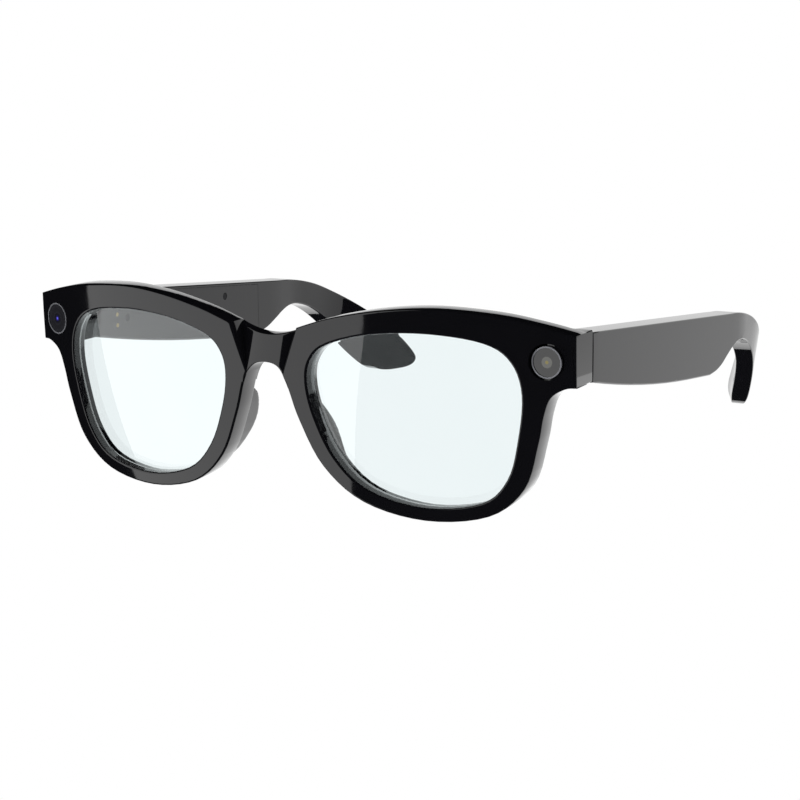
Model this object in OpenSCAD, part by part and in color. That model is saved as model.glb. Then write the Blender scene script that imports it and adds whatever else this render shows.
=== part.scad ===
// Camera glasses: a curved front with two lenses, a camera, a light and a
// flex cable, and two hinged temples that hold the battery and the electronics.
// Millimetres. +Z up, front faces -Y, temples run +Y, +X is the wearer's left.
// The glasses stand on the bottom of both rims and on both temple tips.

/* [Front] */
// Width of each lens opening
opening_w = 49.5; // [42:0.5:60]
// Height of each lens opening
opening_h = 40.2; // [34:0.1:49]
// Distance between the two lens openings
bridge_gap = 22; // [18:0.5:27]
// Half the width of the front, centre to the outer face of an end piece
front_half = 72; // [70:0.5:87]
// Radius of the spherical front face
wrap_r = 225; // [180:1:280]
// Depth of the rims behind the front face
rim_depth = 6; // [5.6:0.1:8]
// Width of the rim under the lens
rim_low = 3.3; // [2.6:0.1:5]
// Width of the rim beside the lens
rim_side = 4.5; // [4:0.1:6]
// Height of the brow above the lens opening
brow_h = 5.7; // [5.6:0.1:8]
// Height of the end pieces
end_h = 11.6; // [11.2:0.1:14]
// Depth of the end pieces, from the front corner to the parting plane
end_depth = 9.3; // [8.6:0.1:12]

/* [Lenses] */
// Thickness of a lens
lens_t = 2; // [1.4:0.1:2.4]
// How far the lens edge reaches into its groove
lens_lip = 1.1; // [0.7:0.1:1.2]

/* [Temples] */
// Length of a temple behind the parting plane
temple_len = 148.3; // [123:0.1:180]
// Thickness of a temple
temple_t = 7; // [6.4:0.1:8.4]
// Height of a temple at its hinge
temple_h = 11.3; // [11:0.1:13.6]
// How much a temple grows in height towards the ear
temple_grow = 3.9; // [1:0.1:5]
// Slope of the temples, in degrees
temple_slope = 6; // [4:0.5:8]
// How far the tip of a temple bends inwards
tip_in = 14.4; // [10:0.2:17]
// Wall of the temple shells
temple_wall = 1.2; // [0.9:0.1:1.4]

/* [Hinge] */
// Radius of the hinge knuckles
knuckle_r = 1.7; // [1.5:0.05:1.9]
// Radius of the hinge screw's shank
hinge_pin_r = 0.7; // [0.5:0.05:0.9]
// Running clearance between the shank and the knuckles
hinge_fit = 0.05; // [0.02:0.01:0.08]
// Gap between an end piece and its temple
parting_gap = 0.3; // [0.2:0.05:0.5]

/* [Camera and light] */
// Radius of the camera window
window_r = 3.5; // [3:0.1:3.8]
// Radius of the light window
light_r = 3.2; // [2.6:0.1:3.4]

/* [Controls] */
// Travel of the capture button
button_travel = 0.4; // [0.2:0.05:0.6]
// Travel of the power switch
switch_travel = 1.5; // [1:0.1:2]

/* [Hidden] */
$fn = 48;

clearance = 0.1;          // between fixed pieces that seat in each other
slide_gap = 0.12;         // beside the sliding button and switch
curve_steps = 5;          // straight pieces between two outline points
ball_fn = 240;            // facets of the large front sphere
over = 20;                // how far cutters run past what they cut

// Heights, measured down from the top corner of an end piece
open_drop = 0.75;
bridge_top = 3.4;
bridge_low = 9.7;
corner_z = opening_h + rim_low + open_drop;
ball_rise = 0.7;

// Places along Y, from the foremost point of the front
corner_y = wrap_r - sqrt(wrap_r * wrap_r - front_half * front_half);
parting_y = corner_y + end_depth;
overall_y = parting_y + temple_len;
end_w = front_half - 59;
inner_x = front_half - temple_t;
hinge_x = inner_x;

// Lens groove, flex channel and brow cover, as depths behind the front face
groove_at = 2.2;
channel_at = 3.7;
cover_at = rim_depth - 1;
flex_half = 0.7;
channel_half = 1;
cover_half = 1.5;

// Hinge stack, from the top down
hinge_top = 2.1;
knuckle_h = 2.5;
axial_gap = 0.1;
plate_t = 1.5;

// Camera and light
disc_x = front_half - 5.9;
disc_z = 5.8;
ring_wall = 0.35;
ring_depth = 1.2;
window_t = 0.8;
barrel_r = 2.5;
barrel_len = 3;
dish_deep = 0.5;

// Temple interior
cover_t = 1.1;
cavity_end = 0.525 * temple_len;
board_t = 0.8;
battery_t = 3.9;
button_at = 23.6;
button_len = 5.4;
button_w = 2.6;
button_proud = 0.6;
contact_at = 13;
contact_drop = 6.4;
contact_pitch = 2.8;
switch_at = 10.5;
switch_len = 4;
speaker_len = 12;
speaker_at = cavity_end - speaker_len - 2;
shield_len = 0.6 * (speaker_at - 36);

// Smooth curves through a list of points
function knot(p, i) = p[(i + len(p)) % len(p)];
function bend(a, b, c, d, t) =
    0.5 * (2 * b + (c - a) * t + (2 * a - 5 * b + 4 * c - d) * t * t
    + (3 * b - a - 3 * c + d) * t * t * t);
function loop_curve(p, n = curve_steps) =
    [for (i = [0:len(p) - 1]) for (j = [0:n - 1])
        bend(knot(p, i - 1), p[i], knot(p, i + 1), knot(p, i + 2), j / n)];
function held(p, i) = p[max(0, min(len(p) - 1, i))];
function open_curve(p, n = curve_steps) = concat(
    [for (i = [0:len(p) - 2]) for (j = [0:n - 1])
        bend(held(p, i - 1), p[i], p[i + 1], held(p, i + 2), j / n)],
    [p[len(p) - 1]]);
function outward(p, i) =
    let (t = knot(p, i + 1) - knot(p, i - 1)) [t.y, -t.x] / norm(t);
function grown(p, d) = [for (i = [0:len(p) - 1]) p[i] + d * outward(p, i)];
function flipped(p) = [for (i = [len(p) - 1:-1:0]) [-p[i].x, p[i].y]];

// Lens opening, as fractions of its width and height, from the nose side of
// its top edge down, round the bottom and back
OPENING = [
    [0.107, 0.909], [0.022, 0.815], [0, 0.683], [0.032, 0.489], [0.121, 0.252],
    [0.273, 0.078], [0.535, 0], [0.798, 0.049], [0.921, 0.198], [0.976, 0.427],
    [1, 0.683], [0.956, 0.862], [0.838, 0.961], [0.586, 1], [0.323, 0.981]
];
function opening_point(f) =
    [bridge_gap / 2 + opening_w * f.x, corner_z - open_drop - opening_h * (1 - f.y)];
opening_knots = [for (f = OPENING) opening_point(f)];
opening_edge = loop_curve(opening_knots);

// Rim around the opening: wider beside the lens than under it
function rim_w(n) = rim_low + (rim_side - rim_low) * n.x * n.x;
rim_knots = [for (i = [3:9])
    opening_knots[i] + rim_w(outward(opening_knots, i)) * outward(opening_knots, i)];
low_curve = open_curve(concat(
    [[0, corner_z - bridge_low], [2.6, corner_z - bridge_low - 0.5],
     [4.7, corner_z - bridge_low - 2.4], [bridge_gap / 2 - 4.9, corner_z - bridge_low - 5.9]],
    rim_knots,
    [[front_half - 7, corner_z - end_h - 6.7], [front_half - 5.4, corner_z - end_h - 2.3],
     [front_half - 2.4, corner_z - end_h - 0.25], [front_half, corner_z - end_h]]));
brow_peak = bridge_gap / 2 + 0.606 * opening_w;
brow_z = corner_z - open_drop + brow_h;
top_curve = open_curve([
    [front_half, corner_z], [front_half - 7.7, corner_z + 2.1],
    [(front_half + brow_peak) / 2 - 2.2, brow_z - 0.9], [brow_peak, brow_z],
    [brow_peak - 12, brow_z - 0.9], [bridge_gap / 2 + 6.6, corner_z + 1.8],
    [bridge_gap / 2 - 1, corner_z - 0.6], [4.5, corner_z - bridge_top + 0.6],
    [0, corner_z - bridge_top]]);
half_outline = concat(low_curve, top_curve);
front_outline = concat(half_outline, flipped(half_outline));

// Middle line of the brow, where the flex cable runs
cable_line = open_curve([
    [0, corner_z - 7], [5, corner_z - 5.9], [bridge_gap / 2 - 1, corner_z - 3.3],
    [bridge_gap / 2 + 9, corner_z - 0.4], [brow_peak - 11, brow_z - 3.5],
    [brow_peak, brow_z - 2.85], [brow_peak + 11, brow_z - 3.6],
    [front_half - end_w + 3.2, corner_z - 1.6]]);
function ribbon(line, half) = concat(
    [for (p = line) p - [0, half]], [for (i = [len(line) - 1:-1:0]) line[i] + [0, half]]);

// Temple seen from the side: distance behind the parting plane, and height
function temple_top(s) = corner_z - 0.5 - tan(temple_slope) * s;
grow_s = 0.42 * temple_len;
function temple_low(s) =
    temple_top(s) - temple_h - temple_grow * (1 - pow(1 - min(s, grow_s) / grow_s, 2));
function behind(f, z) = [f * temple_len, z];
lead = parting_gap / 2;
temple_side_upper = open_curve(concat(
    [for (f = [0.62, 0.66]) behind(f, temple_top(f * temple_len))],
    [behind(0.711, 0.723 * corner_z), behind(0.76, 0.676 * corner_z),
     behind(0.813, 0.603 * corner_z), behind(0.867, 0.506 * corner_z),
     behind(0.921, 0.379 * corner_z), behind(0.968, 0.231 * corner_z),
     behind(0.997, 0.1 * corner_z), behind(1, 0.045 * corner_z),
     behind(0.987, 0.01 * corner_z), behind(0.962, 0),
     behind(0.927, 0.008 * corner_z), behind(0.9, 0.04 * corner_z),
     behind(0.87, 0.13 * corner_z), behind(0.835, 0.252 * corner_z),
     behind(0.8, 0.368 * corner_z), behind(0.763, 0.468 * corner_z),
     behind(0.724, 0.541 * corner_z), behind(0.684, 0.582 * corner_z),
     behind(0.652, 0.588 * corner_z), behind(0.624, 0.568 * corner_z),
     behind(0.596, 0.532 * corner_z), behind(0.568, 0.493 * corner_z),
     behind(0.542, 0.473 * corner_z),
     behind(0.51, temple_low(0.51 * temple_len))]));
temple_side = concat(
    [[lead, temple_low(lead)], [lead, temple_top(lead)]],
    temple_side_upper,
    [for (i = [9:-1:1]) [i / 20 * temple_len, temple_low(i / 20 * temple_len)]]);

// Temple seen from above: the inward bend of the tip
function inward(f) = tip_in * pow(max(0, (f - 0.66) / 0.34), 1.6);
tip_t = temple_t - 1.9;
bend_steps = [0.6, 0.64, 0.68, 0.72, 0.76, 0.8, 0.84, 0.88, 0.92, 0.96, 1, 1.02];
function tip_thick(f) = temple_t - (temple_t - tip_t) * min(1, max(0, (f - 0.6) / 0.2));
temple_plan = concat(
    [[inner_x, lead], [front_half, lead]],
    [for (f = bend_steps) [front_half - inward(f), f * temple_len]],
    [for (i = [len(bend_steps) - 1:-1:0]) let (f = bend_steps[i])
        [front_half - inward(f) - tip_thick(f), f * temple_len]]);

// Profile of the temple's cavity or cover, grown inwards by a margin
inset_steps = 12;
function temple_inset(from, to, margin) = concat(
    [for (i = [0:inset_steps]) let (s = from + (to - from) * i / inset_steps)
        [s, temple_top(s) - margin]],
    [for (i = [inset_steps:-1:0]) let (s = from + (to - from) * i / inset_steps)
        [s, temple_low(s) + margin]]);

// Placement
module placed() { translate([0, -overall_y / 2, 0]) children(); }
module on_side(side) {
    if (side > 0) placed() children();
    else placed() mirror([1, 0, 0]) children();
}
module facing_front(y_from, y_to) {
    translate([0, y_to, 0]) rotate([90, 0, 0]) linear_extrude(y_to - y_from) children();
}
module seen_from_side(x_from, x_to) {
    translate([x_from, parting_y, 0]) rotate([90, 0, 90]) linear_extrude(x_to - x_from) children();
}
module ball(depth, facets = ball_fn) {
    translate([0, wrap_r, corner_z + ball_rise]) sphere(wrap_r - depth, $fn = facets);
}
module shell(from, to) { difference() { ball(from); ball(to); } }
module slab() { facing_front(-over, parting_y) children(); }
// Box inside a temple that follows its slope: x, then from the top edge down
module in_temple(s, x, drop, size) {
    translate([x, parting_y + s, temple_top(s) - drop])
        rotate([-temple_slope, 0, 0]) translate([0, 0, -size.z]) cube(size);
}
module at_disc(yaw) {
    drop = disc_z + ball_rise;
    back = sqrt(wrap_r * wrap_r - disc_x * disc_x - drop * drop);
    translate([disc_x, wrap_r - back, corner_z - disc_z]) rotate([90, 0, yaw]) children();
}
module hinge_axis() { translate([hinge_x, parting_y, 0]) children(); }
function knuckle_z(i) = corner_z - hinge_top - i * (knuckle_h + axial_gap) - knuckle_h;

disc_yaw = asin(disc_x / wrap_r);

// Cavity and mouth of an end piece; the hinge leaf closes the mouth
end_x = front_half - end_w + 2.9;
mouth_x = front_half - end_w + 3.2;
outer_x = front_half - 1.1;
leaf_top = corner_z - 1;
leaf_h = end_h - 1.7;
leaf_y = parting_y - lead - plate_t;
screw_x = front_half - 2.6;
screw_drops = [2.9, 9.1];
screw_r = 0.45;
boss_r = 1.1;
cover_screws = [[17.3, 7.4], [speaker_at - 2.2, 3.6]];

// Along +Y from a point, head last
module screws_rearward(y, len, grow) {
    for (drop = screw_drops) translate([screw_x, y, corner_z - drop]) rotate([-90, 0, 0]) {
        cylinder(h = len, r = screw_r + grow);
        translate([0, 0, len - 0.5]) cylinder(h = 0.5 + grow, r = 1.8 * screw_r + grow);
    }
}
module screws_frontward(y, len, grow) {
    for (drop = screw_drops) translate([screw_x, y, corner_z - drop]) rotate([-90, 0, 0]) {
        cylinder(h = len, r = screw_r + grow);
        translate([0, 0, -grow]) cylinder(h = 0.5 + grow, r = 1.8 * screw_r + grow);
    }
}
module hinge_cut() {
    hinge_axis() translate([0, 0, -over])
        cylinder(h = corner_z - hinge_top + 0.3 + over, r = knuckle_r + 0.3);
}
module knuckle_gap(i) {
    hinge_axis() translate([0, 0, knuckle_z(i) - axial_gap])
        cylinder(h = knuckle_h + 2 * axial_gap, r = knuckle_r + 0.3);
}
module knuckle(i) {
    hinge_axis() translate([0, 0, knuckle_z(i)]) cylinder(h = knuckle_h, r = knuckle_r);
}
module pin_bore() {
    hinge_axis() translate([0, 0, corner_z - over])
        cylinder(h = 2 * over, r = hinge_pin_r + hinge_fit);
}
module cable_slot() {
    translate([hinge_x + 2.9, parting_y - 4, corner_z - 7.8]) cube([0.8, 8, 3.4]);
}

// ---- Front ----
module opening_cut() { slab() polygon(opening_edge); }
module lens_groove() {
    intersection() {
        shell(groove_at, groove_at + lens_t + 0.1);
        slab() polygon(grown(opening_edge, lens_lip));
    }
}
module end_block() {
    intersection() {
        ball(0);
        facing_front(-over, parting_y - lead) intersection() {
            polygon(half_outline);
            translate([front_half - end_w, corner_z - end_h]) square([end_w, end_h]);
        }
    }
}
module end_cavity() {
    difference() {
        intersection() {
            ball(2.2);
            translate([end_x, 0, corner_z - end_h + 1.2])
                cube([front_half - 1.4 - end_x, parting_y, end_h - 2.5]);
        }
        for (drop = screw_drops) translate([screw_x, 0, corner_z - drop]) rotate([-90, 0, 0])
            cylinder(h = parting_y, r = boss_r);
    }
    translate([mouth_x, leaf_y, leaf_top - leaf_h])
        cube([outer_x - mouth_x, over, leaf_h]);
    screws_rearward(leaf_y - 4, 4 + plate_t, 0);
}
module camera_bore() {
    at_disc(disc_yaw) {
        translate([0, 0, -ring_depth]) cylinder(h = over, r = window_r + ring_wall + 0.03);
        translate([0, 0, -6]) cylinder(h = 6, r = barrel_r + clearance);
    }
}
module light_bore() {
    at_disc(0) {
        translate([0, 0, -dish_deep]) cylinder(h = over, r = light_r + ring_wall + 0.5);
        translate([0, 0, -3.6]) cylinder(h = over, r = light_r + ring_wall + 0.03);
    }
}
// The bridge face sits back at its top and is flush at its foot
keystone = [[-8.7, 0.5], [-5.2, -12.4], [5.2, -12.4], [8.7, 0.5], [7.5, 6], [-7.5, 6]];
bridge_r = 42;
bridge_lean = 17;
module bridge_recess() {
    difference() {
        facing_front(-over, 5) translate([0, corner_z])
            polygon([for (p = keystone) [p.x * bridge_gap / 22, p.y]]);
        translate([0, 0.25, corner_z - bridge_low - 2]) rotate([-bridge_lean, 0, 0])
            translate([0, bridge_r, -over]) cylinder(h = 3 * over, r = bridge_r, $fn = 180);
    }
}
cable_full = concat(flipped(cable_line), [for (i = [1:len(cable_line) - 1]) cable_line[i]]);
module brow_band(from, to, half, reach) {
    intersection() {
        shell(from, to);
        slab() intersection() {
            polygon(ribbon(cable_full, half));
            translate([-reach, 0]) square([2 * reach, 2 * corner_z]);
        }
    }
}
module front_frame() {
    color("#17171a") placed() difference() {
        union() {
            intersection() { shell(0, rim_depth); slab() polygon(front_outline); }
            for (side = [0, 1]) mirror([side, 0, 0]) end_block();
        }
        for (side = [0, 1]) mirror([side, 0, 0]) {
            opening_cut();
            lens_groove();
            end_cavity();
            hinge_cut();
        }
        brow_band(channel_at, rim_depth - 0.5, channel_half, end_x + 0.3);
        brow_band(cover_at, rim_depth + 1, cover_half, front_half - end_w);
        translate([0, channel_at + 0.9, corner_z - 14]) cylinder(h = 7, r = 0.4);
        bridge_recess();
        mirror([1, 0, 0]) camera_bore();
        light_bore();
    }
}
module brow_cover() {
    color("#1e1e22") placed()
        brow_band(cover_at + 0.05, rim_depth, cover_half - 0.05, front_half - end_w - 0.1);
}
module lens(side) {
    color([0.85, 0.95, 0.95, 0.35]) on_side(side) intersection() {
        shell(groove_at + 0.05, groove_at + 0.05 + lens_t);
        slab() polygon(grown(opening_edge, lens_lip - clearance));
    }
}
// Nose pad: a blade behind the nose side of a rim, from the rim's rear face back.
// Each profile point is a depth behind the rim and a drop, as a share of opening_h
PAD_PROFILE = [
    [0.8, 0.423], [3.6, 0.473], [5.6, 0.547], [6.7, 0.622], [6.6, 0.697],
    [5.6, 0.771], [4.6, 0.846], [3.7, 0.9]
];
pad_t = 2.4;
pad_in = 0.25;
pad_line = open_curve(concat(
    [[bridge_gap / 2 - 4.9, corner_z - bridge_low - 5.9]], [for (i = [0:2]) rim_knots[i]]));
function pad_edge(d) = [for (i = [1:len(pad_line) - 2])
    pad_line[i] - d * outward(pad_line, i)];
pad_back = [for (p = PAD_PROFILE) [rim_depth + p.x, corner_z - p.y * opening_h]];
module nose_pad(side) {
    color("#1b1b1e") on_side(side) difference() {
        intersection() {
            facing_front(rim_depth - 1, 3 * rim_depth)
                polygon(concat(pad_edge(pad_in), [for (i = [len(pad_edge(0)) - 1:-1:0])
                    pad_edge(pad_in + pad_t)[i]]));
            rotate([90, 0, 90]) linear_extrude(front_half)
                polygon(concat([[0, pad_back[7].y]], [[0, pad_back[0].y]], open_curve(pad_back)));
        }
        difference() { ball(0); ball(rim_depth + 0.02, 2 * ball_fn); }
    }
}
module camera_ring() {
    color("#5c5f66") on_side(-1) at_disc(disc_yaw) translate([0, 0, -ring_depth + 0.02])
        difference() {
            cylinder(h = ring_depth, r = window_r + ring_wall);
            translate([0, 0, -1]) cylinder(h = 4, r = window_r + 0.02);
        }
}
module camera_window() {
    color("#26262c") on_side(-1) at_disc(disc_yaw)
        translate([0, 0, -window_t - 0.08]) cylinder(h = window_t, r = window_r);
}
module camera_barrel() {
    color("#0d0d10") on_side(-1) at_disc(disc_yaw) translate([0, 0, -ring_depth - barrel_len])
        difference() {
            cylinder(h = barrel_len, r = barrel_r);
            translate([0, 0, barrel_len - 0.8]) cylinder(h = 1, r1 = 1.2, r2 = 2.2);
        }
}
module camera_module() {
    color("#2f6b3a") on_side(-1) at_disc(disc_yaw)
        translate([-2.3, -3.1, -ring_depth - barrel_len - 1.6]) cube([4.6, 6.2, 1.55]);
}
module light_ring() {
    color("#6a6d72") on_side(1) at_disc(0) translate([0, 0, -1.6]) difference() {
        cylinder(h = 1.9, r = light_r + ring_wall);
        translate([0, 0, -1]) cylinder(h = 4, r = light_r + 0.02);
    }
}
module light_window() {
    color([0.2, 0.2, 0.22, 0.6]) on_side(1) at_disc(0)
        translate([0, 0, -0.8]) cylinder(h = 0.9, r = light_r);
}
module light_chip() {
    color("#d9c24a") on_side(1) at_disc(0) {
        translate([0, 0, -1.75]) cylinder(h = 0.4, r = 2);
        translate([0, 0, -1.36]) cylinder(h = 0.4, r = 1.3);
    }
}
module light_board() {
    color("#2f6b3a") on_side(1) at_disc(0)
        translate([0, 0, -2.6]) cylinder(h = 0.8, r = light_r - 0.1);
}
module front_flex() {
    color("#b5651d") placed()
        brow_band(channel_at + 0.35, channel_at + 0.55, flex_half, end_x + 0.2);
}
module bridge_microphone() {
    color("#c9c9cc") placed()
        translate([-1.4, channel_at + 0.8, corner_z - 7.8]) cube([2.8, 0.6, 1.6]);
}

// ---- Hinges ----
module hinge_leaf_front(side) {
    color("#8d8f94") on_side(side) difference() {
        union() {
            translate([mouth_x + 0.05, leaf_y + 0.02, leaf_top - leaf_h + 0.05])
                cube([outer_x - mouth_x - 0.1, plate_t - 0.02, leaf_h - 0.1]);
            for (i = [0, 2]) knuckle(i);
        }
        knuckle_gap(1);
        pin_bore();
        hinge_axis() translate([0, 0, knuckle_z(2) - over])
            cylinder(h = over + 0.6, r = hinge_pin_r + 0.45);
        screws_rearward(leaf_y - 4, 4 + plate_t, 0.05);
        cable_slot();
    }
}
module hinge_leaf_temple(side) {
    color("#8d8f94") on_side(side) difference() {
        union() {
            translate([inner_x + 0.05, parting_y + lead, corner_z - temple_h + 0.75])
                cube([outer_x - inner_x - 0.1, plate_t, temple_h - 2.1]);
            knuckle(1);
        }
        knuckle_gap(0);
        knuckle_gap(2);
        pin_bore();
        screws_frontward(parting_y + lead, 4 + plate_t, 0.05);
        cable_slot();
    }
}
module hinge_screw(side) {
    color("#a8aab0") on_side(side) hinge_axis() {
        translate([0, 0, knuckle_z(2) + 0.5])
            cylinder(h = 3 * knuckle_h + 2 * axial_gap - 0.5, r = hinge_pin_r);
        translate([0, 0, knuckle_z(2) + 0.05]) difference() {
            cylinder(h = 0.5, r = hinge_pin_r + 0.4);
            translate([-2, -0.15, -1]) cube([4, 0.3, 1.25]);
        }
    }
}
module front_screws() {
    color("#a8aab0") for (side = [1, -1]) on_side(side)
        screws_rearward(leaf_y - 3.9, 3.9 + plate_t, 0);
}

// ---- Temples ----
module temple_blank() {
    intersection() {
        seen_from_side(inner_x - tip_in - 8, front_half + 1) polygon(temple_side);
        translate([0, parting_y, -1]) linear_extrude(2 * corner_z) polygon(temple_plan);
    }
}
mouth_end = lead + plate_t + 0.05;
module temple_hollow() {
    difference() {
        seen_from_side(inner_x - 1, front_half - temple_wall)
            polygon(temple_inset(mouth_end + 0.4, cavity_end, temple_wall));
        for (drop = screw_drops) translate([screw_x, parting_y, corner_z - drop])
            rotate([-90, 0, 0]) cylinder(h = 6, r = boss_r);
        for (p = cover_screws) boss(p, boss_r);
    }
    seen_from_side(inner_x - 1, inner_x + cover_t)
        polygon(temple_inset(mouth_end, cavity_end + 0.8, temple_wall - 0.5));
    translate([inner_x - 1, parting_y, corner_z - temple_h + 0.7])
        cube([outer_x - inner_x + 1, mouth_end, temple_h - 2]);
    screws_frontward(parting_y + lead, 4 + plate_t, 0);
    for (p = cover_screws) boss(p, screw_r);
}
module boss(p, r) {
    translate([inner_x, parting_y + p.x, temple_top(p.x) - p.y]) rotate([0, 90, 0])
        cylinder(h = temple_t - temple_wall + 0.4, r = r);
}
module grille_slot() {
    s = speaker_at + speaker_len / 2;
    tilt = atan((temple_low(speaker_at) - temple_low(speaker_at + speaker_len)) / speaker_len);
    translate([inner_x + temple_t / 2 + 0.3, parting_y + s, temple_low(s)])
        rotate([-tilt, 0, 0]) translate([0, 0, 0.15]) children();
}
module microphone_port() {
    translate([inner_x + 3.4, parting_y + 8.7, temple_low(8.7) - 2]) cylinder(h = 4, r = 0.4);
}
module temple_shell(side) {
    color("#17171a") on_side(side) difference() {
        temple_blank();
        temple_hollow();
        hinge_cut();
        grille_slot() translate([-1.3, -4.1, -2]) cube([2.6, 8.2, 6]);
        microphone_port();
        if (side < 0)
            in_temple(button_at - slide_gap, button_x - slide_gap, -1,
                [button_w + 2 * slide_gap, button_len + 2 * slide_gap, 1 + temple_wall + 0.5]);
    }
}
module temple_cover(side) {
    color("#1e1e22") on_side(side) difference() {
        seen_from_side(inner_x, inner_x + cover_t - 0.02)
            polygon(temple_inset(mouth_end + 0.1, cavity_end + 0.7, temple_wall - 0.4));
        hinge_cut();
        for (p = cover_screws) translate([inner_x, parting_y + p.x, temple_top(p.x) - p.y])
            rotate([0, 90, 0]) {
                translate([0, 0, -1]) cylinder(h = 4, r = screw_r + 0.1);
                translate([0, 0, -1]) cylinder(h = 1.5, r = 2 * screw_r + 0.1);
            }
        if (side > 0)
            in_temple(switch_at - slide_gap, inner_x - 1, 5 - slide_gap,
                [cover_t + 2, switch_len + switch_travel + 2 * slide_gap, 2 + 2 * slide_gap]);
        else {
            for (i = [0, 1]) contact(i, 0.05, 3);
            in_temple(4.8, inner_x - 1, 4.6, [1.5, 1.6, 3.8]);
        }
    }
}
button_x = inner_x + temple_t / 2 - button_w / 2;
module capture_button() {
    color("#2a2a2e") on_side(-1) {
        in_temple(button_at, button_x, -button_proud,
            [button_w, button_len, button_proud + temple_wall + 0.25]);
        in_temple(button_at - 0.7, button_x - 0.4, temple_wall + 0.25,
            [button_w + 0.8, button_len + 1.4, 0.5]);
    }
}
module button_switch() {
    color("#b9bbc0") on_side(-1) {
        in_temple(button_at + 1.2, button_x + 0.2, temple_wall + 0.8 + button_travel + 0.5,
            [button_w - 0.4, 3, 0.9]);
        in_temple(button_at + 2, button_x + 0.7, temple_wall + 0.8 + button_travel,
            [button_w - 1.4, 1.4, 0.5]);
    }
}
module power_switch() {
    color("#3a3a40") on_side(1) {
        in_temple(switch_at, inner_x - 0.5, 5, [cover_t + 0.6, switch_len, 2]);
        in_temple(switch_at - 0.3, inner_x + cover_t + 0.1, 4.7, [0.4, switch_len + 0.6, 2.6]);
    }
}
module switch_body() {
    color("#c9c9cc") on_side(1)
        in_temple(switch_at - 1.5, inner_x + cover_t + 0.55, 4.2,
            [1.6, switch_len + switch_travel + 3 - 1.2, 3.6]);
}
module contact(i, grow, len) {
    translate([inner_x - grow, parting_y + contact_at,
        temple_top(contact_at) - contact_drop - i * contact_pitch])
        rotate([0, 90, 0]) cylinder(h = len, r = 0.55 + grow);
}
module charging_contacts() {
    color("#c9a24a") on_side(-1) {
        for (i = [0, 1]) contact(i, 0, cover_t + 0.3);
        translate([inner_x + cover_t + 0.1, parting_y + contact_at - 1.3,
            temple_top(contact_at) - contact_drop - contact_pitch - 1])
            cube([0.8, 2.6, contact_pitch + 2]);
    }
}
module battery() {
    color("#9aa0a6") on_side(1)
        in_temple(24, inner_x + cover_t + 0.25, 2.4, [battery_t, speaker_at - 24 - 4, 9.2]);
}
module battery_board() {
    color("#2f6b3a") on_side(1)
        in_temple(19.2, inner_x + cover_t + 2.6, 2.6, [board_t, 4.4, 8.2]);
}
module main_board() {
    color("#2f6b3a") on_side(-1)
        in_temple(19.2, inner_x + cover_t + 2.4, 4, [board_t, speaker_at - 19.2 - 4, 7.3]);
}
module processor_shield() {
    color("#b9bbc0") on_side(-1)
        in_temple(32, inner_x + cover_t + 0.75, 4.5, [1.6, shield_len, 6.4]);
}
module memory_chip() {
    color("#222428") on_side(-1)
        in_temple(32, inner_x + cover_t + 2.45 + board_t, 4.6, [0.8, 0.6 * shield_len, 6]);
}
module touch_sensor() {
    color("#b5651d") on_side(-1)
        in_temple(19.2, front_half - temple_wall - 0.22, 2, [0.2, speaker_at - 19.2 - 4, 8.6]);
}
module speaker(side) {
    color("#3b3d42") on_side(side) {
        in_temple(speaker_at, inner_x + cover_t + 0.3, 2.2, [3.6, speaker_len, 9]);
        in_temple(speaker_at + 2, inner_x + cover_t + 0.9, 11.15, [2.4, speaker_len - 4, 0.8]);
    }
}
module speaker_grille(side) {
    color("#4a4c52") on_side(side) grille_slot() difference() {
        translate([-1.25, -4.05, 0]) cube([2.5, 8.1, 0.6]);
        for (i = [-3:3]) for (j = [-1, 1]) translate([0.55 * j, 1.1 * i, -1])
            cylinder(h = 3, r = 0.3, $fn = 16);
    }
}
module microphone(side) {
    color("#c9c9cc") on_side(side)
        translate([inner_x + 2.1, parting_y + 7.2, temple_low(7.2) + temple_wall + 0.05])
            cube([2.6, 3, 1]);
}
module temple_flex(side) {
    color("#b5651d") on_side(side)
        in_temple(mouth_end + 0.6, inner_x + 3.5, 4.4, [0.2, 13, 2.2]);
}
module temple_screws(side) {
    color("#a8aab0") on_side(side) {
        screws_frontward(parting_y + lead, 3.9 + plate_t, 0);
        for (p = cover_screws) translate([inner_x + 0.05, parting_y + p.x, temple_top(p.x) - p.y])
            rotate([0, 90, 0]) {
                cylinder(h = temple_t - temple_wall - 0.1, r = screw_r);
                cylinder(h = 0.45, r = 2 * screw_r);
            }
    }
}

front_frame();
brow_cover();
lens(1);  // lens_left
lens(-1);  // lens_right
nose_pad(1);  // nose_pad_left
nose_pad(-1);  // nose_pad_right
camera_ring();
camera_window();
camera_barrel();
camera_module();
light_ring();
light_window();
light_chip();
light_board();
front_flex();
bridge_microphone();
hinge_leaf_front(1);  // hinge_leaf_front_left
hinge_leaf_front(-1);  // hinge_leaf_front_right
hinge_screw(1);  // hinge_screw_left
hinge_screw(-1);  // hinge_screw_right
front_screws();
temple_shell(1);  // temple_shell_left
temple_cover(1);  // temple_cover_left
hinge_leaf_temple(1);  // hinge_leaf_temple_left
battery();
battery_board();
speaker(1);  // speaker_left
speaker_grille(1);  // speaker_grille_left
switch_body();
power_switch();
microphone(1);  // microphone_left
temple_flex(1);  // temple_flex_left
temple_screws(1);  // temple_screws_left
temple_shell(-1);  // temple_shell_right
temple_cover(-1);  // temple_cover_right
hinge_leaf_temple(-1);  // hinge_leaf_temple_right
main_board();
processor_shield();
memory_chip();
speaker(-1);  // speaker_right
speaker_grille(-1);  // speaker_grille_right
touch_sensor();
charging_contacts();
capture_button();
button_switch();
microphone(-1);  // microphone_right
temple_flex(-1);  // temple_flex_right
temple_screws(-1);  // temple_screws_right
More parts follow.
